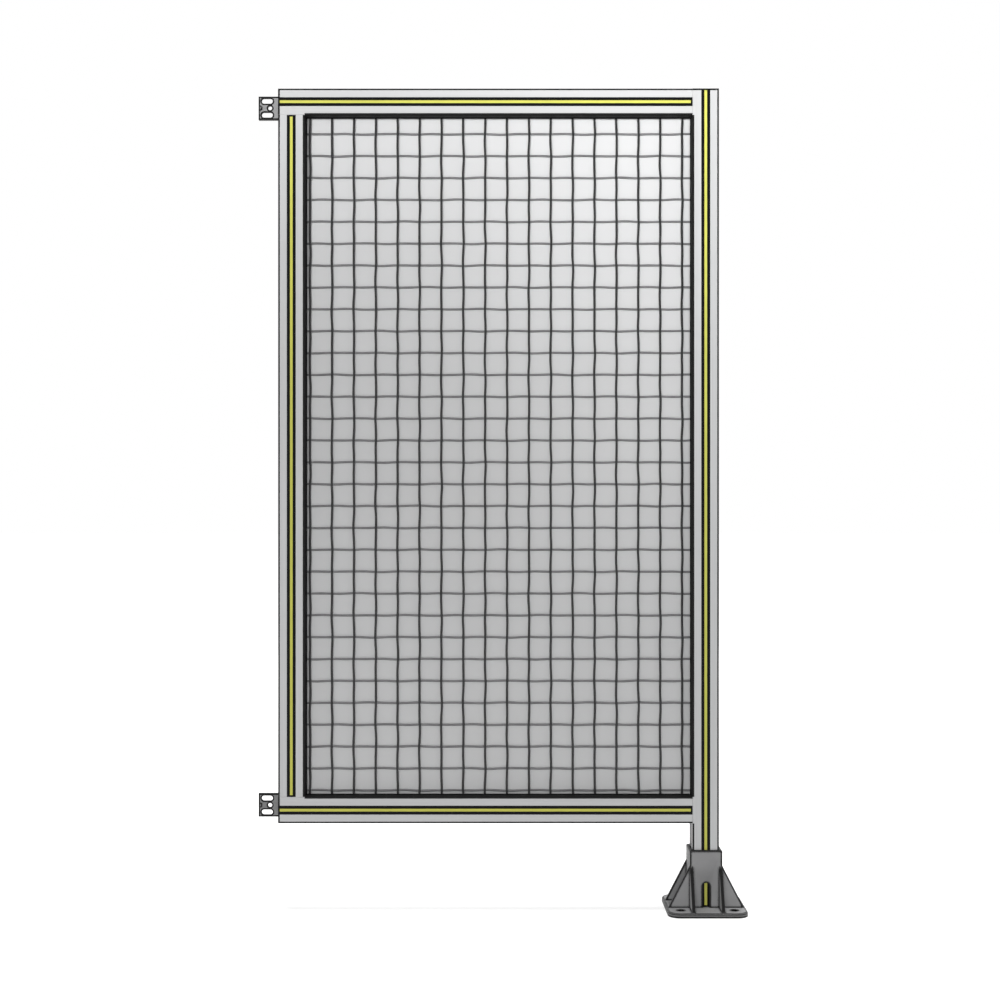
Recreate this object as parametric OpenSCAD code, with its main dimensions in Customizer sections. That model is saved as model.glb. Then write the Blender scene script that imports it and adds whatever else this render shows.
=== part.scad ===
// Machine guard fence panel: a wire mesh field in an aluminium slot profile frame,
// carried by one post that stands in a cast floor foot.
// The origin is the centre of the foot's underside, +Z is up, the front faces -Y
// and the panel runs from the post towards -X. All sizes are millimetres.

/* [Panel] */
// Overall width, from the free stile's outer face to the post's outer face
panel_w = 750; // [400:10:1500]
// Height of the frame, from the bottom rail's underside to the post's top
panel_h = 1250; // [500:10:2000]
// Height of the bottom rail's underside above the floor
ground_gap = 150; // [130:5:400]

/* [Slot profile] */
// Side length of the square profile
profile_w = 45; // [44:0.5:60]
// Radius of the profile's outer corners
profile_corner_r = 1.5; // [0.5:0.1:3]
// Width of a slot between its lips
slot_mouth = 10.4; // [9.6:0.1:12]
// Width of the shallow rebate that a slot's cover or edging lies in
seat_w = 14.4; // [13:0.2:18]
// Depth of the rebate
seat_depth = 0.8; // [0.6:0.1:1.5]
// Chamfer on the rebate's outer edges
seat_chamfer = 0.3; // [0.1:0.1:0.5]
// Thickness of the lips
slot_lip = 4.5; // [3.5:0.1:5]
// Width of the slot behind its lips
slot_chamber = 20; // [16:0.5:21]
// Height of the straight part of the chamber
chamber_side = 3; // [1:0.5:4]
// Depth of the slot from the profile's face
slot_depth = 14.5; // [12:0.5:15]
// Width of the slot's floor
slot_floor = 9; // [6:0.5:10]
// Diameter of the core bore
core_d = 10; // [6:0.1:11]
// Side length of the four hollow corner chambers
corner_chamber = 6.5; // [3:0.5:7]
// Wall between a corner chamber and the outer faces
corner_wall = 2.2; // [1.5:0.1:3]

/* [Cover strips] */
// Width of the strip's raised yellow face
strip_face = 5.2; // [4:0.2:7]
// Depth of the raised face below the profile's face
strip_recess = 0.1; // [0.05:0.05:0.2]
// Thickness of the strip's black wings, which lie in the rebate
strip_wing = 0.4; // [0.2:0.1:0.5]
// Thickness of the strip's roof above its hollow
strip_roof = 2.2; // [1.4:0.1:2.6]
// Width of each snap hook behind the slot's lips
strip_hook = 1.1; // [0.6:0.1:1.6]
// Height of a snap hook
strip_hook_h = 2.2; // [1.2:0.1:3]
// Width of the hollow between the snap legs
strip_hollow = 5; // [3:0.5:6]
// Side clearance of a strip in its slot
strip_fit = 0.1; // [0.05:0.05:0.25]

/* [Mesh] */
// Distance from wire to wire
mesh_pitch = 37.5; // [25:0.5:60]
// Thickness of a wire
wire_d = 3.5; // [2.4:0.1:3.8]
// Depth by which crossing wires are welded into each other
weld_depth = 0.9; // [0.4:0.1:1.2]
// Distance from the free stile's inner face to the first upright wire
first_upright = 7; // [5:0.5:20]
// Distance from the bottom rail's upper face to the first level wire
first_level = 7.2; // [5:0.1:20]
// Thickness of the sheet behind the wires
sheet_t = 1.8; // [1:0.1:2]
// Depth by which wires and sheet reach into the slots
infill_grip = 8; // [5:0.5:9]

/* [Edging] */
// Thickness of the edging's wings, which lie in the rebate
edging_wing = 1.6; // [1:0.1:2.2]
// Height of the black edging that shows beside the frame
edging_reveal = 2.2; // [1:0.1:4]
// Thickness of the edging's web at the bottom of its groove
edging_web = 1.5; // [0.8:0.1:2.5]
// Side clearance of the edging in its slot
edging_fit = 0.15; // [0.05:0.05:0.25]
// Clearance between the infill and the edging's groove
groove_fit = 0.1; // [0.05:0.05:0.3]

/* [Post foot] */
// Side length of the foot's square base plate
base_w = 135; // [120:1:200]
// Corner radius of the base plate
base_corner_r = 20; // [10:1:24]
// Thickness of the base plate
base_t = 8; // [5:0.5:15]
// Chamfer on the base plate's upper edge
base_chamfer = 2; // [0.5:0.5:3]
// Distance between anchor holes, both ways
anchor_pitch = 90; // [84:1:100]
// Diameter of an anchor hole
anchor_d = 11; // [8:0.5:14]
// Wall thickness of the sleeve around the post
sleeve_wall = 4.8; // [3:0.1:8]
// Clearance between post and sleeve on each side
sleeve_fit = 0.2; // [0.1:0.05:0.3]
// Height of the sleeve's rim above the floor
sleeve_top = 105; // [90:1:120]
// Chamfer on the sleeve's rim
sleeve_chamfer = 1.6; // [0.5:0.1:2.5]
// Width of the clamp slot in each wall of the sleeve
clamp_slot_w = 11; // [8:0.5:14]
// Height of the clamp slot's round end above the floor
clamp_slot_top = 50; // [30:1:60]
// Thickness of a gusset
gusset_t = 5; // [3:0.5:6]
// Height of the gussets at the sleeve above the floor
gusset_top = 79; // [50:1:88]
// Distance of a gusset's outer toe from the post's axis
gusset_reach = 64; // [52:1:66]

/* [Brackets] */
// Height of a bracket
bracket_h = 40; // [32:1:44]
// Length by which a bracket stands out beyond the free stile
bracket_out = 40; // [32:1:60]
// Length of a bracket behind the rail
bracket_back = 45; // [40:1:80]
// Thickness of the bracket's two legs
bracket_t = 3; // [2:0.5:4]
// Radius of the bracket's outer corner
bracket_corner_r = 1; // [0.5:0.1:2]
// Radius of the fillet in its inner corner
bracket_fillet = 1.8; // [0.5:0.1:2]
// Depth of the bracket's short leg and ribs, measured from the rail's rear face
bracket_flange = 8; // [7:1:40]
// Thickness of the ribs that join both legs at top and bottom
bracket_rib_t = 2.5; // [1.5:0.1:2.5]
// Gap between the ribs and the rail's end
bracket_rib_gap = 3.5; // [1:0.5:8]
// Length by which the ribs get shorter towards the rear
bracket_rib_slant = 1.5; // [1:0.5:12]
// Length of the centring lug on the long leg's front face
lug_l = 5; // [3:0.5:5.5]
// Width of the centring lug
lug_w = 7.5; // [4:0.5:10]
// Height of the centring lug
lug_h = 1.5; // [0.8:0.1:3]
// Width of the fixing slots
bracket_slot_w = 8.5; // [6:0.5:9]
// Overall length of the fixing slots
bracket_slot_l = 19; // [14:0.5:22]
// Distance between the two fixing slots
bracket_slot_pitch = 24; // [20:0.5:25]
// Distance from the bracket's outer face to the nearer end of its slots
bracket_slot_start = 5.6; // [5.5:0.1:8]
// Diameter of the round hole between the slots
bracket_pin_d = 7; // [5:0.1:8]
// Distance of the round hole from the bracket's outer face
bracket_pin_in = 20; // [15:0.5:24]
// Diameter of the two bolt holes behind the rail
bracket_bolt_d = 9; // [6:0.5:10]
// Distance between the two bolt holes behind the rail
bracket_bolt_pitch = 22; // [16:0.5:24]
// Gap between a bracket and the cover strip that stops beside it
bracket_strip_gap = 0.3; // [0.2:0.1:2]

/* [Hidden] */
$fn = 48;
cut = 1; // how far a cut runs past the faces that it opens

half = profile_w / 2;
seat_y = half - seat_depth;
frame_top = ground_gap + panel_h;
frame_left = half - panel_w;

// The field is the opening between the frame's four members
field_left = frame_left + profile_w;
field_right = -half;
field_bottom = ground_gap + profile_w;
field_top = frame_top - profile_w;
field_h = field_top - field_bottom;

upper_axis = frame_top - half;
lower_axis = ground_gap + half;

// Wires in front, sheet behind, centred together in the slots
infill_t = 2 * wire_d - weld_depth + sheet_t;
upright_y = -infill_t / 2 + wire_d / 2;
level_y = upright_y + wire_d - weld_depth;
sheet_y = level_y + wire_d / 2;
infill_left = field_left - infill_grip;
infill_right = field_right + infill_grip;
infill_bottom = field_bottom - infill_grip;
infill_top = field_top + infill_grip;
upright_count = floor((field_right - field_left - first_upright) / mesh_pitch) + 1;
level_count = floor((field_h - first_level) / mesh_pitch) + 1;
first_upright_x = field_left + first_upright;
first_level_z = field_bottom + first_level;

sleeve_in = half + sleeve_fit;
sleeve_out = sleeve_in + sleeve_wall;

bracket_left = frame_left - bracket_out;
bracket_right = frame_left + bracket_back;

// ---- Slot profile ----

module rounded_square(side, r) {
    square([side - 2 * r, side], center = true);
    square([side, side - 2 * r], center = true);
    for (x = [-1, 1], y = [-1, 1])
        translate([x * (side / 2 - r), y * (side / 2 - r)]) circle(r = r);
}

// One slot, open towards +Y
module slot_section() {
    m = slot_mouth / 2;
    c = slot_chamber / 2;
    w = seat_w / 2;
    lip_y = half - slot_lip;
    floor_y = half - slot_depth;
    polygon([
        [-w - seat_chamfer - cut, half + cut], [-w - seat_chamfer, half],
        [-w, half - seat_chamfer], [-w, seat_y], [-m, seat_y],
        [-m, lip_y], [-c, lip_y], [-c, lip_y - chamber_side],
        [-slot_floor / 2, floor_y], [slot_floor / 2, floor_y],
        [c, lip_y - chamber_side], [c, lip_y], [m, lip_y],
        [m, seat_y], [w, seat_y], [w, half - seat_chamfer],
        [w + seat_chamfer, half], [w + seat_chamfer + cut, half + cut]
    ]);
}

module profile_section() {
    corner = half - corner_wall - corner_chamber / 2;
    difference() {
        rounded_square(profile_w, profile_corner_r);
        for (turn = [0 : 90 : 270]) rotate(turn) {
            slot_section();
            translate([corner, corner]) square(corner_chamber, center = true);
        }
        circle(d = core_d);
    }
}

// Sets a section in the XY plane upright from z0 to z1, at the place x on the panel
module upright_run(x, z0, z1) {
    translate([x, 0, z0]) linear_extrude(z1 - z0) children();
}

// Lays a section along X from x0 to x1 at the height z; the section's +Y stays +Y
module level_run(z, x0, x1) {
    translate([x0, 0, z]) rotate([90, 0, 90]) linear_extrude(x1 - x0) rotate(-90) children();
}

module post() {
    color("gainsboro") upright_run(0, base_t, frame_top) profile_section();
}

module free_stile() {
    color("gainsboro") upright_run(frame_left + half, field_bottom, field_top) profile_section();
}

module rail(z) {
    color("gainsboro") level_run(z, frame_left, field_right) profile_section();
}

module top_rail() { rail(upper_axis); }
module bottom_rail() { rail(lower_axis); }

// ---- Cover strips ----

// Section of a snap-in strip in the slot that opens towards +Y
module strip_section() {
    f = strip_face / 2;
    w = seat_w / 2 - strip_fit;
    s = slot_mouth / 2 - strip_fit;
    face_y = half - strip_recess;
    wing_y = seat_y + strip_wing;
    hook_y = half - slot_lip - strip_fit;
    hook_x = slot_mouth / 2 + strip_hook;
    hollow_y = face_y - strip_roof;
    difference() {
        polygon([
            [-f, face_y], [f, face_y], [f, wing_y], [w, wing_y], [w, seat_y], [s, seat_y],
            [s, hook_y], [hook_x, hook_y], [s, hook_y - strip_hook_h],
            [-s, hook_y - strip_hook_h], [-hook_x, hook_y], [-s, hook_y],
            [-s, seat_y], [-w, seat_y], [-w, wing_y], [-f, wing_y]
        ]);
        translate([-strip_hollow / 2, hook_y - strip_hook_h - cut])
            square([strip_hollow, hollow_y - hook_y + strip_hook_h + cut]);
    }
}

// turn = 180 puts the strip on the front, 0 on the rear
module upright_strip(x, z0, z1, turn) {
    color("khaki") upright_run(x, z0, z1) rotate(turn) strip_section();
}

module level_strip(z, x0, x1, turn) {
    color("khaki") level_run(z, x0, x1) rotate(turn) strip_section();
}

front = 180;
rear = 0;

module post_strip_front() { upright_strip(0, base_t, frame_top, front); }
module post_strip_rear() { upright_strip(0, base_t, frame_top, rear); }
module stile_strip_front() { upright_strip(frame_left + half, field_bottom, field_top, front); }
module stile_strip_rear() { upright_strip(frame_left + half, field_bottom, field_top, rear); }
module top_rail_strip_front() { level_strip(upper_axis, frame_left, field_right, front); }
module bottom_rail_strip_front() { level_strip(lower_axis, frame_left, field_right, front); }

// At the rear the rails' strips stop beside the brackets
rear_strip_left = bracket_right + bracket_strip_gap;
module top_rail_strip_rear() { level_strip(upper_axis, rear_strip_left, field_right, rear); }
module bottom_rail_strip_rear() { level_strip(lower_axis, rear_strip_left, field_right, rear); }

// ---- Infill ----

module upright_wire(i) {
    translate([first_upright_x + i * mesh_pitch, upright_y, infill_bottom])
        cylinder(h = infill_top - infill_bottom, d = wire_d);
}

module level_wire(j, x0, x1) {
    translate([x0, level_y, first_level_z + j * mesh_pitch])
        rotate([0, 90, 0]) cylinder(h = x1 - x0, d = wire_d);
}

// Upright wires i0 to i1 - 1, with the stretch of every level wire that belongs to them
module mesh_field(i0, i1) {
    x0 = i0 == 0 ? infill_left : first_upright_x + (i0 - 0.5) * mesh_pitch;
    x1 = i1 == upright_count ? infill_right : first_upright_x + (i1 - 0.5) * mesh_pitch;
    color("dimgray") {
        for (i = [i0 : i1 - 1]) upright_wire(i);
        for (j = [0 : level_count - 1]) level_wire(j, x0, x1);
    }
}

third = round(upright_count / 3);
module mesh_left() { mesh_field(0, third); }
module mesh_middle() { mesh_field(third, 2 * third); }
module mesh_right() { mesh_field(2 * third, upright_count); }

module backing_sheet() {
    color("lightgray") translate([infill_left, sheet_y, infill_bottom])
        cube([infill_right - infill_left, sheet_t, infill_top - infill_bottom]);
}

// Section of the edging in the slot that opens towards +Y, standing out of it
module edging_section() {
    s = slot_mouth / 2 - edging_fit;
    w = seat_w / 2 - edging_fit;
    g = infill_t / 2 + groove_fit;
    groove_y = half - infill_grip - groove_fit;
    difference() {
        union() {
            translate([-s, groove_y - edging_web])
                square([2 * s, half + edging_reveal - groove_y + edging_web]);
            translate([-w, seat_y]) square([2 * w, edging_wing]);
        }
        translate([-g, groove_y]) square([2 * g, profile_w]);
    }
}

module upright_edging(x, turn) {
    color([0.08, 0.08, 0.08]) upright_run(x, field_bottom, field_top) rotate(turn) edging_section();
}

// Level edging butts against the upright ones
module level_edging(z, turn) {
    color([0.08, 0.08, 0.08])
        level_run(z, field_left + edging_reveal, field_right - edging_reveal) rotate(turn) edging_section();
}

module edging_left() { upright_edging(frame_left + half, -90); }
module edging_right() { upright_edging(0, 90); }
module edging_top() { level_edging(upper_axis, -90); }
module edging_bottom() { level_edging(lower_axis, 90); }

// ---- Post foot ----

module base_bar() {
    straight = base_w - 2 * base_corner_r;
    h = base_w / 2;
    translate([0, straight / 2, 0]) rotate([90, 0, 0]) linear_extrude(straight) polygon([
        [-h, 0], [h, 0], [h, base_t - base_chamfer], [h - base_chamfer, base_t],
        [-h + base_chamfer, base_t], [-h, base_t - base_chamfer]
    ]);
}

module base_corner() {
    cylinder(h = base_t - base_chamfer, r = base_corner_r);
    translate([0, 0, base_t - base_chamfer])
        cylinder(h = base_chamfer, r1 = base_corner_r, r2 = base_corner_r - base_chamfer);
}

module base_plate() {
    place = base_w / 2 - base_corner_r;
    base_bar();
    rotate(90) base_bar();
    for (x = [-1, 1], y = [-1, 1]) translate([x * place, y * place, 0]) base_corner();
}

// A wall-to-wall block whose rim is chamfered on two sides
module rim_block() {
    s = sleeve_out;
    translate([0, s, 0]) rotate([90, 0, 0]) linear_extrude(2 * s) polygon([
        [-s, 0], [s, 0], [s, sleeve_top - sleeve_chamfer], [s - sleeve_chamfer, sleeve_top],
        [-s + sleeve_chamfer, sleeve_top], [-s, sleeve_top - sleeve_chamfer]
    ]);
}

module sleeve_body() {
    intersection() {
        rim_block();
        rotate(90) rim_block();
    }
}

// Two gussets towards +X and -X that carry on the sleeve's front wall
module gusset_pair() {
    translate([0, gusset_t - sleeve_out, 0]) rotate([90, 0, 0]) linear_extrude(gusset_t) polygon([
        [-gusset_reach, 0], [gusset_reach, 0], [gusset_reach, base_t], [sleeve_out, gusset_top],
        [-sleeve_out, gusset_top], [-gusset_reach, base_t]
    ]);
}

// A clamp slot through the sleeve wall on the front side
module clamp_slot() {
    r = clamp_slot_w / 2;
    translate([0, -sleeve_in + cut, 0]) rotate([90, 0, 0]) linear_extrude(sleeve_wall + 2 * cut) {
        translate([-r, base_t]) square([clamp_slot_w, clamp_slot_top - r - base_t]);
        translate([0, clamp_slot_top - r]) circle(r = r);
    }
}

module post_foot() {
    color("gray") difference() {
        union() {
            base_plate();
            sleeve_body();
            for (turn = [0 : 90 : 270]) rotate(turn) gusset_pair();
        }
        translate([-sleeve_in, -sleeve_in, base_t])
            cube([2 * sleeve_in, 2 * sleeve_in, sleeve_top]);
        for (turn = [0 : 90 : 270]) rotate(turn) clamp_slot();
        for (x = [-1, 1], y = [-1, 1])
            translate([x * anchor_pitch / 2, y * anchor_pitch / 2, -cut])
                cylinder(h = base_t + 2 * cut, d = anchor_d);
    }
}

// ---- Brackets ----

// Section in the XY plane: a long leg against the rails' rear face and a short leg
module bracket_section() {
    r = bracket_corner_r;
    translate([bracket_left + r, half]) square([bracket_right - bracket_left - r, bracket_t]);
    translate([bracket_left, half + r]) square([bracket_t, bracket_flange - r]);
    translate([bracket_left + r, half + r]) circle(r = r);
    translate([bracket_left + bracket_t, half + bracket_t]) difference() {
        square(bracket_fillet);
        translate([bracket_fillet, bracket_fillet]) circle(r = bracket_fillet);
    }
}

// Outline in the XY plane of a rib in the inner corner, from leg to leg
module bracket_rib() {
    x0 = bracket_left + bracket_t / 2;
    x1 = frame_left - bracket_rib_gap;
    y0 = half + bracket_t / 2;
    y1 = half + bracket_flange;
    polygon([[x0, y0], [x1, y0], [x1 - bracket_rib_slant, y1], [x0, y1]]);
}

// Centring lug with rounded inner corners, on the front face at the free end
module centring_lug(z) {
    r = lug_w / 4;
    x = bracket_left + bracket_corner_r;
    translate([x, half, z]) rotate([90, 0, 0]) linear_extrude(lug_h) {
        translate([0, -lug_w / 2]) square([lug_l - r, lug_w]);
        translate([0, r - lug_w / 2]) square([lug_l, lug_w - 2 * r]);
        for (side = [-1, 1]) translate([lug_l - r, side * (lug_w / 2 - r)]) circle(r = r);
    }
}

module slotted_hole(x, z) {
    r = bracket_slot_w / 2;
    translate([x, 0, z]) rotate([90, 0, 0]) linear_extrude(bracket_t + 2 * cut) {
        for (end = [r, bracket_slot_l - r]) translate([end, 0]) circle(r = r);
        translate([r, -r]) square([bracket_slot_l - 2 * r, bracket_slot_w]);
    }
}

module bracket(z) {
    bolt_mid = frame_left + bracket_back / 2;
    color("darkgray") difference() {
        union() {
            translate([0, 0, z - bracket_h / 2]) linear_extrude(bracket_h) bracket_section();
            for (foot = [-bracket_h / 2, bracket_h / 2 - bracket_rib_t])
                translate([0, 0, z + foot]) linear_extrude(bracket_rib_t) bracket_rib();
            centring_lug(z);
        }
        translate([0, half + bracket_t + cut, 0]) {
            for (side = [-1, 1]) {
                slotted_hole(bracket_left + bracket_slot_start, z + side * bracket_slot_pitch / 2);
                translate([bolt_mid + side * bracket_bolt_pitch / 2, 0, z]) rotate([90, 0, 0])
                    cylinder(h = bracket_t + 2 * cut, d = bracket_bolt_d);
            }
            translate([bracket_left + bracket_pin_in, 0, z]) rotate([90, 0, 0])
                cylinder(h = bracket_t + 2 * cut, d = bracket_pin_d);
        }
    }
}

module upper_bracket() { bracket(upper_axis); }
module lower_bracket() { bracket(lower_axis); }

// ---- Assembly ----

post();
top_rail();
bottom_rail();
free_stile();
post_foot();
post_strip_front();
post_strip_rear();
top_rail_strip_front();
top_rail_strip_rear();
bottom_rail_strip_front();
bottom_rail_strip_rear();
stile_strip_front();
stile_strip_rear();
mesh_left();
mesh_middle();
mesh_right();
backing_sheet();
edging_left();
edging_right();
edging_top();
edging_bottom();
upper_bracket();
lower_bracket();
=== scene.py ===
import math
import random

import bmesh
import bpy
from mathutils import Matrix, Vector


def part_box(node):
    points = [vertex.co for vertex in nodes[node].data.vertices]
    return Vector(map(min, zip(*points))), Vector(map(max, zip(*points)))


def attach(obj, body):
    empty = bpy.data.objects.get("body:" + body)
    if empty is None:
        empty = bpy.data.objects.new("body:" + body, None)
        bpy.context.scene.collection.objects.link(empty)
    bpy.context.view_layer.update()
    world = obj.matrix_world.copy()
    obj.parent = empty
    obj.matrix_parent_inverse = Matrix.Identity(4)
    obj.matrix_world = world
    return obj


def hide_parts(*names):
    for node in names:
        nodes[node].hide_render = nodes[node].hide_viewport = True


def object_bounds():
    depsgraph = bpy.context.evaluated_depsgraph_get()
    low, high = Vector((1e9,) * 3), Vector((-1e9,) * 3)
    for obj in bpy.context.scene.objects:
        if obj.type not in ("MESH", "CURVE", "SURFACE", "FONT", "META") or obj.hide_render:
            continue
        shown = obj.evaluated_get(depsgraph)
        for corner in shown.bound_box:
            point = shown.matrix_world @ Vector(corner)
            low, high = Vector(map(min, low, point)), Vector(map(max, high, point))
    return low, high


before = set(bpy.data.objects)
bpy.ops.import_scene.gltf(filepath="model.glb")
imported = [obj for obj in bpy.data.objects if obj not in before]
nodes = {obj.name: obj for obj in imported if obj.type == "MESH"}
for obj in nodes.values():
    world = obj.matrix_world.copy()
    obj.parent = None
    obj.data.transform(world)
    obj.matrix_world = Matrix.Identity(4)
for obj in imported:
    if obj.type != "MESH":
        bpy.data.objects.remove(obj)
cad_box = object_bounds()

# Lengths are in metres. X runs along the panel towards its post, Y to its rear, Z up.

MM = 0.001

# ---- Places of the CAD nodes ----

post_lo, post_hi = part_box("post")
stile_lo, stile_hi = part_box("free_stile")
top_lo, top_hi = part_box("top_rail")
bottom_lo, bottom_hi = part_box("bottom_rail")
mesh_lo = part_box("mesh_left")[0]
mesh_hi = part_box("mesh_right")[1]
foot_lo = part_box("post_foot")[0]
bracket_lo, bracket_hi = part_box("upper_bracket")

PROFILE_W = post_hi.x - post_lo.x
POST_X = (post_lo.x + post_hi.x) / 2
STILE_X = (stile_lo.x + stile_hi.x) / 2
TOP_Z = (top_lo.z + top_hi.z) / 2
BOTTOM_Z = (bottom_lo.z + bottom_hi.z) / 2

# ---- Node trees ----

# Colour sockets of a Mix node, whose names its other sockets have too.
MIX_FIRST, MIX_SECOND, MIX_RESULT = 6, 7, 2


class Graph:
    """An emptied node tree, with the steps that the materials are made of."""

    def __init__(self, tree):
        tree.nodes.clear()
        self.tree = tree

    def add(self, kind, **values):
        """A new node; each value goes to the input of that name, or else to the node."""
        node = self.tree.nodes.new("ShaderNode" + kind)
        for key, value in values.items():
            if key in node.inputs:
                node.inputs[key].default_value = value
            else:
                setattr(node, key, value)
        return node

    def link(self, source, target):
        self.tree.links.new(source, target)

    def calc(self, operation, *values):
        """One Math node; each value is a socket or a number."""
        node = self.add("Math", operation=operation)
        for socket, value in zip(node.inputs, values):
            if isinstance(value, (int, float)):
                socket.default_value = value
            else:
                self.link(value, socket)
        return node.outputs["Value"]

    def off(self, value, centre):
        """Distance of a coordinate from a centre."""
        return self.calc("ABSOLUTE", self.calc("SUBTRACT", value, centre))

    def off_pair(self, value, first, second):
        """Distance of a coordinate from the nearer of two centres."""
        return self.off(self.off(value, (first + second) / 2), abs(first - second) / 2)

    def most(self, value, *others):
        """The greatest of several values."""
        for other in others:
            value = self.calc("MAXIMUM", value, other)
        return value

    def within(self, first, second, radius):
        """1 where two offsets together are shorter than a radius, else 0."""
        squares = [self.calc("MULTIPLY", offset, offset) for offset in (first, second)]
        return self.calc("LESS_THAN", self.calc("ADD", *squares), radius * radius)

    def position(self, scale=(1, 1, 1)):
        """Surface position times a scale for each axis."""
        coords = self.add("TexCoord")
        mapping = self.add("Mapping", Scale=scale)
        self.link(coords.outputs["Object"], mapping.inputs["Vector"])
        return mapping.outputs["Vector"]

    def axes(self, vector):
        """The three values of a vector by the names of their axes."""
        split = self.add("SeparateXYZ")
        self.link(vector, split.inputs["Vector"])
        return {axis: split.outputs[axis] for axis in "XYZ"}

    def noise(self, scale, detail, axis_scale=(1, 1, 1)):
        """Cloudy noise, with about scale times axis_scale spots to the metre."""
        clouds = self.add("TexNoise", Scale=scale, Detail=detail, Roughness=0.55)
        self.link(self.position(axis_scale), clouds.inputs["Vector"])
        return clouds.outputs["Fac"]

    def ramp(self, value, low, high, from_low=0.3, from_high=0.7):
        """Maps a value, by default a noise's usual range, to the range low to high."""
        spread = {"From Min": from_low, "From Max": from_high, "To Min": low, "To Max": high}
        node = self.add("MapRange", **spread)
        self.link(value, node.inputs["Value"])
        return node.outputs["Result"]

    def tinted(self, color, factor):
        """A colour times a grey factor."""
        node = self.add("VectorMath", operation="SCALE")
        node.inputs[0].default_value = color
        self.link(factor, node.inputs["Scale"])
        return node.outputs["Vector"]

    def lined(self, color, mask, dark):
        """A colour that turns into a dark grey where the mask is 1, which paints shade lines."""
        mix = self.add("Mix", data_type="RGBA")
        self.link(mask, mix.inputs["Factor"])
        self.link(color, mix.inputs[MIX_FIRST])
        mix.inputs[MIX_SECOND].default_value = (dark, dark, dark, 1)
        return mix.outputs[MIX_RESULT]

    def bumps(self, heights):
        """The normal after (height, strength, distance) rows, each on top of the last."""
        normal = None
        for height, strength, distance in heights:
            node = self.add("Bump", Strength=strength, Distance=distance)
            self.link(height, node.inputs["Height"])
            if normal is not None:
                self.link(normal, node.inputs["Normal"])
            normal = node.outputs["Normal"]
        return normal

    def surface(self, color, roughness, heights, specular=0.5, metallic=0.0):
        """Ends a material: sockets for colour and roughness, and rows for bumps."""
        bsdf = self.add("BsdfPrincipled", Metallic=metallic)
        bsdf.inputs["Specular IOR Level"].default_value = specular
        self.link(color, bsdf.inputs["Base Color"])
        self.link(roughness, bsdf.inputs["Roughness"])
        self.link(self.bumps(heights), bsdf.inputs["Normal"])
        out = self.add("OutputMaterial")
        self.link(bsdf.outputs["BSDF"], out.inputs["Surface"])


def new_material(name):
    """An empty node material and its graph."""
    mat = bpy.data.materials.new(name)
    mat.use_nodes = True
    return mat, Graph(mat.node_tree)


# ---- Painted shade: dark lines along edges, corners, rims and slot rebates, drawn like a line drawing's outlines ----

# Width of the painted shade lines, and the near-black tones they are painted in.
EDGE_SHADE_LINE = 3 * MM
PROFILE_SHADE_TONE = 0.004
SHADE_LINE_TONE = 0.003

# The rebate beside a profile's slot with its chamfer, painted dark as shade: half its width and
# its depth.
SEAT_HALF = 7.6 * MM
SEAT_DEEP = 1.1 * MM

# How the painted shade masks by the edges fade, from the full line to none.
CORNER_FADE = (0.93, 0.985)
RIM_FADE = (0.87, 0.95)

# How far the painted shade reaches by the corners and rims of the foot and brackets, and the width
# of a bracket's painted shade lines.
FOOT_CORNER = 7 * MM
FOOT_RIM = 4.4 * MM
BRACKET_CORNER = 3 * MM
BRACKET_RIM = 2.8 * MM
BRACKET_SHADE_LINE = 2.6 * MM

# A bracket's two slots and its pin hole, as the CAD has them. A slot's run is half the
# distance between the centres of its round ends.
BRACKET_SLOT_X = bracket_lo.x + 15.1 * MM
BRACKET_SLOT_RUN = 5.25 * MM
BRACKET_SLOT_OFF = 12 * MM
BRACKET_SLOT_R = 4.25 * MM
BRACKET_PIN_X = bracket_lo.x + 20 * MM
BRACKET_PIN_R = 3.5 * MM


def edge_shade_mask(graph, radius, depth):
    """Painted shade: near 1 by sharp corners, and where another face lies within a depth behind
    this one.
    """
    rounded = graph.add("Bevel", samples=8, Radius=radius)
    same = graph.add("VectorMath", operation="DOT_PRODUCT")
    graph.link(rounded.outputs["Normal"], same.inputs[0])
    graph.link(graph.add("NewGeometry").outputs["Normal"], same.inputs[1])
    corner = graph.ramp(same.outputs["Value"], 1.0, 0.0, *CORNER_FADE)
    inner = graph.add(
        "AmbientOcclusion", samples=12, inside=True, only_local=True, Distance=depth
    )
    rim = graph.ramp(inner.outputs["AO"], 1.0, 0.0, *RIM_FADE)
    return graph.most(corner, rim)


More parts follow.
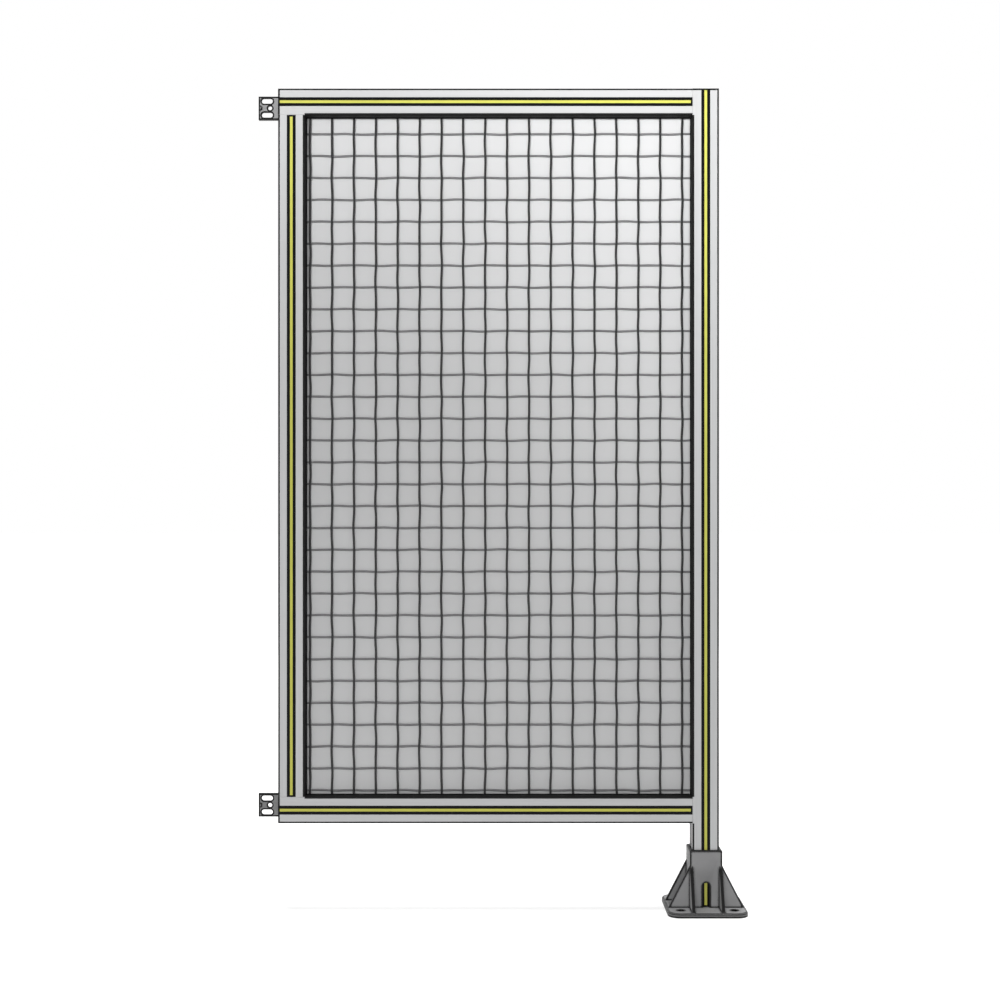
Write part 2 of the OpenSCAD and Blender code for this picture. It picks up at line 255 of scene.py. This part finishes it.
def profile_shade_lines(graph, along):
    """Painted shade lines: 1 on a profile's long edges, slot rebates and open ends, 0 on flats and
    butt joints.
    """
    place = graph.axes(graph.position())
    facing = graph.axes(graph.add("NewGeometry").outputs["True Normal"])
    depth = graph.calc("ABSOLUTE", place["Y"])
    if along == "X":
        off = graph.off_pair(place["Z"], TOP_Z, BOTTOM_Z)
        end = graph.calc("LESS_THAN", place["X"], top_lo.x + EDGE_SHADE_LINE)
        below_top = graph.calc("LESS_THAN", place["Z"], TOP_Z)
        above_bottom = graph.calc("GREATER_THAN", place["Z"], BOTTOM_Z)
        inner_side = graph.calc("MULTIPLY", below_top, above_bottom)
        at_joint = graph.calc("LESS_THAN", place["X"], stile_hi.x)
    else:
        off = graph.off_pair(place["X"], POST_X, STILE_X)
        end = graph.calc("GREATER_THAN", place["Z"], post_hi.z - EDGE_SHADE_LINE)
        from_rail = graph.off_pair(place["Z"], TOP_Z, BOTTOM_Z)
        at_joint = graph.calc("LESS_THAN", from_rail, PROFILE_W / 2)
        inner_side = graph.calc("LESS_THAN", place["X"], POST_X)
    free = graph.calc("SUBTRACT", 1.0, graph.calc("MULTIPLY", inner_side, at_joint))
    less = graph.calc("MINIMUM", off, depth)
    more = graph.calc("MAXIMUM", off, depth)
    corner = graph.calc("GREATER_THAN", less, PROFILE_W / 2 - EDGE_SHADE_LINE)
    beside_slot = graph.calc("LESS_THAN", less, SEAT_HALF)
    near_face = graph.calc("GREATER_THAN", more, PROFILE_W / 2 - SEAT_DEEP)
    seat = graph.calc("MULTIPLY", beside_slot, near_face)
    line = graph.most(graph.calc("MULTIPLY", corner, free), seat, end)
    cut_face = graph.calc("GREATER_THAN", graph.calc("ABSOLUTE", facing[along]), 0.5)
    return graph.calc("MULTIPLY", line, graph.calc("SUBTRACT", 1.0, cut_face))


def bracket_shade_lines(graph):
    """Painted shade lines: 1 along the outline, the two slots and the pin hole of a bracket."""
    place = graph.axes(graph.position())
    rise = graph.off_pair(place["Z"], TOP_Z, BOTTOM_Z)
    half_height = (bracket_hi.z - bracket_lo.z) / 2
    rim = graph.calc("GREATER_THAN", rise, half_height - BRACKET_SHADE_LINE)
    end = graph.calc("LESS_THAN", place["X"], bracket_lo.x + BRACKET_SHADE_LINE)
    along = graph.off(place["X"], BRACKET_SLOT_X)
    past_end = graph.most(graph.calc("SUBTRACT", along, BRACKET_SLOT_RUN), 0.0)
    from_slot = graph.calc("SUBTRACT", rise, BRACKET_SLOT_OFF)
    slot = graph.within(past_end, from_slot, BRACKET_SLOT_R + BRACKET_SHADE_LINE)
    from_pin = graph.calc("SUBTRACT", place["X"], BRACKET_PIN_X)
    pin = graph.within(from_pin, rise, BRACKET_PIN_R + BRACKET_SHADE_LINE)
    edges = edge_shade_mask(graph, BRACKET_CORNER, BRACKET_RIM)
    return graph.most(edges, rim, end, slot, pin)


def foot_shade_lines(graph):
    """Painted shade: near 1 along the edges and thin rims of the foot."""
    return edge_shade_mask(graph, FOOT_CORNER, FOOT_RIM)


# ---- Materials ----

ALUMINIUM = (0.44, 0.442, 0.445)
YELLOW = (0.465, 0.46, 0.094)
RUBBER = (0.008, 0.008, 0.008)
SHEET_GREY = (0.48, 0.482, 0.485)
STEEL = (0.42, 0.42, 0.43)
FOOT_TONE = 0.206
BRACKET_TONE = 0.203
# One wire coat in a lit and a shaded copy: the level wires lighter, as painted light from above.
UPRIGHT_SHADED_TONE = 0.015
LEVEL_LIT_TONE = 0.13
# Near-black tone of the rounded edges of the foot and brackets: painted shade.
EDGE_SHADE_TONE = 0.012

# The raised face of a cover strip, and the black rim of painted shade along each of its sides.
STRIP_FACE = 5.2 * MM
STRIP_SHADE_RIM = 0.3 * MM


def drawn(along, across_scale, along_scale):
    """Scales for the three axes that draw a noise out along one of them."""
    scales = [across_scale] * 3
    scales["XYZ".index(along)] = along_scale
    return scales


def aluminium(name, along):
    """Natural anodised extrusion: fine draw lines along one axis, and dark painted shade lines
    along the edges.
    """
    mat, graph = new_material(name)
    fine = graph.noise(1.0, 3, drawn(along, 900, 4))
    wide = graph.noise(1.0, 2, drawn(along, 60, 1.5))
    cloud = graph.noise(9.0, 3)
    tone = graph.calc("MULTIPLY", graph.ramp(fine, 0.965, 1.03), graph.ramp(wide, 0.975, 1.02))
    silver = graph.tinted(ALUMINIUM, tone)
    graph.surface(
        graph.lined(silver, profile_shade_lines(graph, along), PROFILE_SHADE_TONE),
        graph.ramp(cloud, 0.38, 0.5),
        [(fine, 0.12, 0.08 * MM), (wide, 0.05, 0.2 * MM)],
        specular=0.25,
        metallic=0.2,
    )
    return mat


def cover_strip(name, axis, centre, start, end):
    """Yellow raised face between black side wings that paint the slot's shade, with painted shade
    lines along its rims and at both ends of its length.
    """
    mat, graph = new_material(name)
    place = graph.axes(graph.position())
    # The wings and a thin rim of the face are painted black as shade.
    wing_shade = graph.calc("GREATER_THAN", graph.off(place[axis], centre), STRIP_FACE / 2 - STRIP_SHADE_RIM)
    run = place["Z" if axis == "X" else "X"]
    at_start = graph.calc("LESS_THAN", run, start + EDGE_SHADE_LINE)
    at_end = graph.calc("GREATER_THAN", run, end - EDGE_SHADE_LINE)
    grain = graph.noise(700.0, 3)
    cloud = graph.noise(14.0, 3)
    yellow = graph.tinted(YELLOW, graph.ramp(cloud, 0.95, 1.04))
    graph.surface(
        graph.lined(yellow, graph.most(wing_shade, at_start, at_end), SHADE_LINE_TONE),
        graph.ramp(grain, 0.42, 0.55),
        [(grain, 0.15, 0.05 * MM)],
        specular=0.1,
    )
    return mat


def rubber():
    """Matt black rubber of the edging."""
    mat, graph = new_material("edging_rubber")
    grain = graph.noise(1200.0, 4)
    graph.surface(
        graph.tinted(RUBBER, graph.ramp(grain, 0.7, 1.5)),
        graph.ramp(grain, 0.55, 0.75),
        [(grain, 0.3, 0.06 * MM)],
        specular=0.1,
    )
    return mat


def powder_coat(name, base):
    """Powder coat: fine orange peel over slight changes of tone."""
    mat, graph = new_material(name)
    peel = graph.noise(1500.0, 3)
    tone = graph.noise(40.0, 3)
    graph.surface(
        graph.tinted((base, base, base * 1.02), graph.ramp(tone, 0.85, 1.2)),
        graph.ramp(peel, 0.42, 0.6),
        [(peel, 0.35, 0.08 * MM)],
        specular=0.4,
    )
    return mat


def satin_sheet():
    """Light grey satin sheet."""
    mat, graph = new_material("satin_sheet")
    mist = graph.noise(3.0, 3)
    grain = graph.noise(900.0, 3)
    graph.surface(
        graph.tinted(SHEET_GREY, graph.ramp(mist, 0.985, 1.015)),
        graph.ramp(grain, 0.4, 0.5),
        [(grain, 0.06, 0.05 * MM)],
    )
    return mat


def cast_coat(name, base, grain_size, shade_lines):
    """Grey coated metal with a fine casting skin and dark painted shade lines along its edges."""
    mat, graph = new_material(name)
    skin = graph.noise(grain_size, 4)
    dents = graph.noise(90.0, 3)
    tone = graph.noise(22.0, 4)
    coat = graph.tinted((base, base, base * 1.01), graph.ramp(tone, 0.93, 1.07))
    graph.surface(
        graph.lined(coat, shade_lines(graph), SHADE_LINE_TONE),
        graph.ramp(skin, 0.45, 0.62),
        [(dents, 0.1, 0.4 * MM), (skin, 0.3, 0.1 * MM)],
        specular=0.2,
    )
    return mat


def plated_steel():
    """Bright plating of the bracket screws."""
    mat, graph = new_material("plated_steel")
    grain = graph.noise(500.0, 4)
    graph.surface(
        graph.tinted(STEEL, graph.ramp(grain, 0.9, 1.1)),
        graph.ramp(grain, 0.25, 0.42),
        [(grain, 0.1, 0.05 * MM)],
        metallic=0.9,
    )
    return mat


# ---- Mesh helpers ----

MERGE_DISTANCE = 0.002 * MM
FLAT_ANGLE = math.radians(1)
SHARP_ANGLE = math.radians(35)


def add_object(name, mesh, materials):
    """A new object in the scene, with its material slots in the order given."""
    obj = bpy.data.objects.new(name, mesh)
    bpy.context.scene.collection.objects.link(obj)
    for mat in materials:
        mesh.materials.append(mat)
    return obj


def mesh_from(bm, name):
    """Turns a bmesh into a mesh and frees it."""
    mesh = bpy.data.meshes.new(name)
    bm.to_mesh(mesh)
    bm.free()
    return mesh


def smooth_by_angle(obj, degrees):
    """Shades an object smooth, but for edges that turn by more than an angle."""
    mesh = obj.data
    mesh.polygons.foreach_set("use_smooth", [True] * len(mesh.polygons))
    bm = bmesh.new()
    bm.from_mesh(mesh)
    for edge in bm.edges:
        edge.smooth = len(edge.link_faces) == 2 and edge.calc_face_angle(0) < math.radians(degrees)
    bm.to_mesh(mesh)
    bm.free()


def bridge(bm, near, far):
    """The quads between two rings of as many vertices."""
    after = list(range(1, len(near))) + [0]
    return [bm.faces.new((near[k], near[n], far[n], far[k])) for k, n in enumerate(after)]


def softened(node, name, width, segments, material, edge_shade_material):
    """A copy of a CAD solid, in its place, whose edges are rounded, inside and out; the rounded
    faces take a near-black coat as painted shade.
    """
    bm = bmesh.new()
    bm.from_mesh(nodes[node].data)
    bmesh.ops.remove_doubles(bm, verts=bm.verts, dist=MERGE_DISTANCE)
    bmesh.ops.dissolve_limit(
        bm, angle_limit=FLAT_ANGLE, verts=bm.verts, edges=bm.edges, delimit=set()
    )
    obj = add_object(name, mesh_from(bm, name), [material, edge_shade_material])
    bevel = obj.modifiers.new("edges", "BEVEL")
    bevel.material = obj.data.materials.find(edge_shade_material.name)
    bevel.width = width
    bevel.segments = segments
    bevel.limit_method = "ANGLE"
    bevel.angle_limit = SHARP_ANGLE
    settled = bpy.data.meshes.new_from_object(
        obj.evaluated_get(bpy.context.evaluated_depsgraph_get())
    )
    obj.modifiers.clear()
    obj.data = settled
    smooth_by_angle(obj, 30)
    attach(obj, "root")
    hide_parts(node)
    return obj


# ---- Wire mesh: round wires that wander a little, uprights in front ----

# As thick as the photo shows the wires, which is a little more than in the CAD.
WIRE_D = 3.8 * MM
WIRE_SIDES = 10
RINGS_PER_CELL = 4
MESH_PITCH = 37.5 * MM
# From the edge of the frame's opening to the middle of the first wire.
FIRST_UPRIGHT = 7 * MM
FIRST_LEVEL = 7.2 * MM
# The waves that a wire's wander adds up from: height, and length in cells.
WAVES = ((0.42 * MM, 2.0), (0.30 * MM, 3.3), (0.16 * MM, 1.27))


def wander(rng):
    """A gentle sideways wave, with phases of its own, as a function of the distance."""
    phases = [rng.uniform(0, 2 * math.pi) for _ in WAVES]

    def offset(distance):
        cells = distance / MESH_PITCH
        return sum(
            height * math.sin(2 * math.pi * cells / length + phase)
            for (height, length), phase in zip(WAVES, phases)
        )

    return offset


def tube(bm, centres, side, depth, material_index):
    """A closed wire through centre points; side and depth span its round section."""
    rings = []
    for centre in centres:
        ring = []
        for k in range(WIRE_SIDES):
            turn = 2 * math.pi * k / WIRE_SIDES
            spoke = math.cos(turn) * side + math.sin(turn) * depth
            ring.append(bm.verts.new(centre + WIRE_D / 2 * spoke))
        rings.append(ring)
    for near, far in zip(rings, rings[1:]):
        for face in bridge(bm, near, far):
            face.material_index = material_index
            face.smooth = True
    for cap in (rings[0][::-1], rings[-1]):
        bm.faces.new(cap).material_index = material_index


def steps(start, end):
    """Even steps between two places, a few to each cell of the mesh."""
    count = round((end - start) / MESH_PITCH * RINGS_PER_CELL)
    return [start + (end - start) * i / count for i in range(count + 1)]


def wire_mesh(upright_shaded_coat, level_lit_coat):
    """The whole mesh as one piece; level wires cross behind the uprights, in the lit copy of the
    wire coat, the uprights in the shaded copy.
    """
    rng = random.Random(7)
    bm = bmesh.new()
    across, depth, up = Vector((1, 0, 0)), Vector((0, 1, 0)), Vector((0, 0, 1))
    upright_y = mesh_lo.y + WIRE_D / 2
    level_y = mesh_hi.y - WIRE_D / 2
    first_x = stile_hi.x + FIRST_UPRIGHT
    first_z = bottom_hi.z + FIRST_LEVEL
    uprights = int((post_lo.x - first_x) / MESH_PITCH) + 1
    levels = int((top_lo.z - first_z) / MESH_PITCH) + 1
    for i in range(uprights):
        sway = wander(rng)
        x = first_x + i * MESH_PITCH
        line = [Vector((x + sway(z), upright_y, z)) for z in steps(mesh_lo.z, mesh_hi.z)]
        tube(bm, line, across, depth, 0)
    for j in range(levels):
        sway = wander(rng)
        z = first_z + j * MESH_PITCH
        line = [Vector((x, level_y, z + sway(x))) for x in steps(mesh_lo.x, mesh_hi.x)]
        tube(bm, line, depth, up, 1)
    bmesh.ops.recalc_face_normals(bm, faces=bm.faces)
    piece = add_object("wire_mesh", mesh_from(bm, "wire_mesh"), [upright_shaded_coat, level_lit_coat])
    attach(piece, "root")
    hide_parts("mesh_left", "mesh_middle", "mesh_right")
    return piece


# ---- Painted shade: black bars on the frame's inner faces round the opening ----

SHADE_BAR_T = 0.5 * MM
# Where a bar starts and ends, from the panel's middle plane.
SHADE_BAR_NEAR = 7.4 * MM
SHADE_BAR_FAR = PROFILE_W / 2 - 1.6 * MM
SHADE_BAR_CHAMFER = 0.12 * MM


def add_bar(bm, low, high):
    """A straight bar with small rounded chamfers along all its edges."""
    verts = [bm.verts.new((x, y, z)) for x in (low.x, high.x) for y in (low.y, high.y)
             for z in (low.z, high.z)]
    faces = [bm.faces.new([verts[i] for i in quad]) for quad in (
        (0, 1, 3, 2), (4, 6, 7, 5), (0, 4, 5, 1), (2, 3, 7, 6), (0, 2, 6, 4), (1, 5, 7, 3))]
    edges = list({edge for face in faces for edge in face.edges})
    bmesh.ops.bevel(
        bm, geom=edges, offset=SHADE_BAR_CHAMFER, segments=2, affect="EDGES", profile=0.5
    )


def inner_face_shade_bars(material):
    """Painted shade: two rims of black flat bars on the frame's inner faces round the opening, one
    in front of the infill and one behind.
    """
    left, right = stile_hi.x, post_lo.x
    low, high = bottom_hi.z, top_lo.z
    bm = bmesh.new()
    for near, far in ((-SHADE_BAR_FAR, -SHADE_BAR_NEAR), (SHADE_BAR_NEAR, SHADE_BAR_FAR)):
        add_bar(bm, Vector((left, near, low)), Vector((left + SHADE_BAR_T, far, high)))
        add_bar(bm, Vector((right - SHADE_BAR_T, near, low)), Vector((right, far, high)))
        for z in (low, high - SHADE_BAR_T):
            add_bar(bm, Vector((left + SHADE_BAR_T, near, z)), Vector((right - SHADE_BAR_T, far, z + SHADE_BAR_T)))
    bmesh.ops.recalc_face_normals(bm, faces=bm.faces)
    piece = add_object("inner_face_shade_bars", mesh_from(bm, "inner_face_shade_bars"), [material])
    smooth_by_angle(piece, 35)
    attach(piece, "root")
    return piece


# ---- Bracket screws: flanged button heads with a hexagon socket ----

HEAD_R = 7 * MM
HEAD_H = 4.4 * MM
HEAD_EDGE = 0.3 * MM
WASHER_R = 8.4 * MM
WASHER_H = 1.6 * MM
WASHER_GAP = 0.02 * MM
SOCKET_R = 2.9 * MM
SOCKET_DEPTH = 2.6 * MM
SCREW_PITCH = 22 * MM
# Thickness of the bracket under the heads.
BRACKET_T = 3 * MM
DOME_STEPS = 7
TURN_STEPS = 48
TURNS = [2 * math.pi * k / TURN_STEPS for k in range(TURN_STEPS)]


def turned_ring(bm, centre, distance, radii):
    """A ring of vertices about +Y, each at its own radius."""
    ring = []
    for turn, radius in zip(TURNS, radii):
        place = Vector((radius * math.cos(turn), distance, radius * math.sin(turn)))
        ring.append(bm.verts.new(centre + place))
    return ring


def hexagon_radius(turn):
    """The radius of the socket's outline at a turn about its axis."""
    side = (turn % (math.pi / 3)) - math.pi / 6
    return SOCKET_R * math.cos(math.pi / 6) / math.cos(side)


def screw_head(bm, centre):
    """A closed head about +Y, from the washer's underside to the socket's floor."""
    outline = [
        (WASHER_R - HEAD_EDGE, WASHER_GAP),
        (WASHER_R, HEAD_EDGE),
        (WASHER_R, WASHER_H - HEAD_EDGE),
        (WASHER_R - HEAD_EDGE, WASHER_H),
        (HEAD_R - HEAD_EDGE, WASHER_H),
    ]
    for k in range(DOME_STEPS):
        turn = math.pi / 2 * k / DOME_STEPS
        radius = HEAD_R * (0.5 + 0.5 * math.cos(turn))
        outline.append((radius, WASHER_H + HEAD_EDGE + HEAD_H * math.sin(turn)))
    rings = [turned_ring(bm, centre, distance, [radius] * TURN_STEPS)
             for radius, distance in outline]
    for near, far in zip(rings, rings[1:]):
        bridge(bm, near, far)
    bm.faces.new(rings[0][::-1])
    rim = rings[-1]
    top = outline[-1][1]
    hexagon = [hexagon_radius(turn) for turn in TURNS]
    for distance in (top, top - SOCKET_DEPTH):
        ring = turned_ring(bm, centre, distance, hexagon)
        bridge(bm, rim, ring)
        rim = ring
    bm.faces.new(rim)


def bracket_screws(name, bracket, steel):
    """The two screws that hold a bracket to the end of its rail."""
    low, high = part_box(bracket)
    seat_y = post_hi.y + BRACKET_T
    bm = bmesh.new()
    for side in (-1, 1):
        x = STILE_X + side * SCREW_PITCH / 2
        screw_head(bm, Vector((x, seat_y, (low.z + high.z) / 2)))
    bmesh.ops.recalc_face_normals(bm, faces=bm.faces)
    piece = add_object(name, mesh_from(bm, name), [steel])
    smooth_by_angle(piece, 35)
    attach(piece, "root")
    return piece


# ---- Dress the CAD nodes and add the scene's own pieces ----

FOOT_ROUND = 0.9 * MM
BRACKET_ROUND = 0.35 * MM


def dress(node, material):
    """Gives every material slot of a CAD node the same material."""
    for slot in nodes[node].material_slots:
        slot.link = "OBJECT"
        slot.material = material


upright_alu = aluminium("anodised_upright", "Z")
level_alu = aluminium("anodised_level", "X")
black_edging = rubber()
sheet_mat = satin_sheet()
foot_coat = cast_coat("foot_coat", FOOT_TONE, 420.0, foot_shade_lines)
bracket_coat = cast_coat("bracket_coat", BRACKET_TONE, 900.0, bracket_shade_lines)
# The near-black coat of the rounded edges is painted shade.
edge_shade = powder_coat("painted_edge_shade", EDGE_SHADE_TONE)
steel = plated_steel()

for node in ("post", "free_stile"):
    dress(node, upright_alu)
for node in ("top_rail", "bottom_rail"):
    dress(node, level_alu)
for side in ("left", "right", "top", "bottom"):
    dress("edging_" + side, black_edging)
dress("backing_sheet", sheet_mat)

# Each cover strip is centred on its profile: across X on uprights, across Z on rails.
strip_places = {
    "post_strip": ("X", POST_X),
    "stile_strip": ("X", STILE_X),
    "top_rail_strip": ("Z", TOP_Z),
    "bottom_rail_strip": ("Z", BOTTOM_Z),
}
for strip, (axis, centre) in strip_places.items():
    for side in ("_front", "_rear"):
        low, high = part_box(strip + side)
        ends = (low.z, high.z) if axis == "X" else (low.x, high.x)
        dress(strip + side, cover_strip(strip + side + "_plastic", axis, centre, *ends))

# Lit and shaded copies of one wire coat: painted light on the level wires.
upright_shaded_coat = powder_coat("upright_wire_shaded", UPRIGHT_SHADED_TONE)
level_lit_coat = powder_coat("level_wire_lit", LEVEL_LIT_TONE)
wire_mesh(upright_shaded_coat, level_lit_coat)

# Black bars that paint the shade on the frame's inner faces.
inner_face_shade_bars(black_edging)
foot = softened("post_foot", "cast_foot", FOOT_ROUND, 3, foot_coat, edge_shade)
for place in ("upper", "lower"):
    node = place + "_bracket"
    bent = softened(node, place + "_bent_bracket", BRACKET_ROUND, 2, bracket_coat, edge_shade)
    bracket_screws(node + "_screws", node, steel)

# ---- Stage: white surroundings, pale floor that keeps a soft shadow ----

FLOOR_HALF = 30.0
FLOOR_DROP = 0.2 * MM
FLOOR_TONE = (0.45, 0.45, 0.45)
# The floor glows less near the object: both strengths, and how far from the origin each
# of them starts or ends.
GLOW_STRENGTH = (0.6, 0.9)
GLOW_REACH = (1.0, 4.0)
# The world's strength for the rays that light the object, and for those that see it.
WORLD_STRENGTH = (0.3, 1.0)


def seen_rays(graph):
    """1 for camera, glossy and transmission rays, else 0."""
    path = graph.add("LightPath").outputs
    return graph.most(
        path["Is Camera Ray"], path["Is Glossy Ray"], path["Is Transmission Ray"]
    )


def floor_material():
    """White to the eye; its glow is weaker near the object, where the shadow stays."""
    mat, graph = new_material("pale_floor")
    speck = graph.noise(30.0, 3)
    diffuse = graph.add("BsdfDiffuse")
    graph.link(graph.tinted(FLOOR_TONE, graph.ramp(speck, 0.99, 1.01)), diffuse.inputs["Color"])
    reach = graph.add("VectorMath", operation="LENGTH")
    graph.link(graph.position(), reach.inputs[0])
    strength = graph.ramp(reach.outputs["Value"], *GLOW_STRENGTH, *GLOW_REACH)
    glow = graph.add("Emission", Color=(1, 1, 1, 1))
    graph.link(graph.calc("MULTIPLY", seen_rays(graph), strength), glow.inputs["Strength"])
    both = graph.add("AddShader")
    graph.link(diffuse.outputs["BSDF"], both.inputs[0])
    graph.link(glow.outputs["Emission"], both.inputs[1])
    out = graph.add("OutputMaterial")
    graph.link(both.outputs["Shader"], out.inputs["Surface"])
    return mat


def make_floor():
    bm = bmesh.new()
    bmesh.ops.create_grid(bm, x_segments=8, y_segments=8, size=FLOOR_HALF)
    floor = add_object("floor", mesh_from(bm, "floor"), [floor_material()])
    floor.location.z = cad_box[0].z - FLOOR_DROP


def make_world():
    world = bpy.data.worlds.new("studio")
    bpy.context.scene.world = world
    world.use_nodes = True
    graph = Graph(world.node_tree)
    background = graph.add("Background", Color=(1, 1, 1, 1))
    strength = graph.ramp(seen_rays(graph), *WORLD_STRENGTH, 0.0, 1.0)
    graph.link(strength, background.inputs["Strength"])
    out = graph.add("OutputWorld")
    graph.link(background.outputs["Background"], out.inputs["Surface"])


def add_lamp(name, data, place, target, power):
    """Puts a lamp in its place, aimed at a target and unseen in reflections."""
    data.energy = power
    lamp = bpy.data.objects.new(name, data)
    bpy.context.scene.collection.objects.link(lamp)
    lamp.location = place
    lamp.visible_glossy = False
    lamp.rotation_mode = "QUATERNION"
    lamp.rotation_quaternion = (Vector(target) - Vector(place)).to_track_quat("-Z", "Y")
    return lamp


def area_lamp(name, place, target, width, height, power):
    """A broad oval lamp."""
    data = bpy.data.lights.new(name, "AREA")
    data.shape = "ELLIPSE"
    data.size = width
    data.size_y = height
    return add_lamp(name, data, place, target, power)


def spot_lamp(name, place, target, half_angle, stretch, power):
    """A soft-edged beam; stretch widens it sideways."""
    data = bpy.data.lights.new(name, "SPOT")
    data.spot_size = 2 * half_angle
    data.spot_blend = 1.0
    data.shadow_soft_size = 0.25
    lamp = add_lamp(name, data, place, target, power)
    lamp.scale = (stretch, 1, 1)
    return lamp


CAMERA_DISTANCE = 2.697
CAMERA_SHIFT = 2.5 * MM
VIEW_ANGLE = math.radians(35)


def make_camera():
    """Level view from straight in front of the panel, at half the object's height."""
    middle_x = (stile_lo.x + post_hi.x) / 2 + CAMERA_SHIFT
    middle_z = (foot_lo.z + post_hi.z) / 2
    data = bpy.data.cameras.new("camera")
    data.sensor_width = 36.0
    data.lens = data.sensor_width / 2 / math.tan(VIEW_ANGLE / 2)
    data.clip_start = 0.05
    data.clip_end = 200.0
    camera = bpy.data.objects.new("camera", data)
    bpy.context.scene.collection.objects.link(camera)
    camera.location = (middle_x, post_lo.y - CAMERA_DISTANCE, middle_z)
    camera.rotation_euler = (math.pi / 2, 0, 0)
    bpy.context.scene.camera = camera


PANEL_MIDDLE = (-0.35, 0, 0.7)

make_floor()
make_world()
area_lamp("overhead", (-0.35, 0.0, 8.0), (-0.35, 0, 0), width=3.0, height=3.0, power=760)
area_lamp("front_fill", (-0.9, -4.5, 1.3), PANEL_MIDDLE, width=2.5, height=2.0, power=98)
area_lamp("rear_fill", (0.3, 4.5, 1.9), PANEL_MIDDLE, width=2.5, height=2.0, power=98)
area_lamp("left_fill", (-5.0, 0.0, 1.2), PANEL_MIDDLE, width=2.0, height=2.0, power=60)
area_lamp("right_fill", (4.3, 0.0, 1.2), PANEL_MIDDLE, width=2.0, height=2.0, power=60)
# The photo is brightest at its top right: one beam for the post, one for the top rail.
spot_lamp(
    "post_beam", (0.224, -3.0, 1.3), (-0.042, 0, 2.037), half_angle=0.555, stretch=0.3, power=250
)
spot_lamp(
    "top_beam", (-1.5, -3.0, 1.3), (-0.311, 0, 3.0), half_angle=0.638, stretch=1.6, power=640
)
make_camera()
bpy.context.scene.view_settings.view_transform = "Standard"
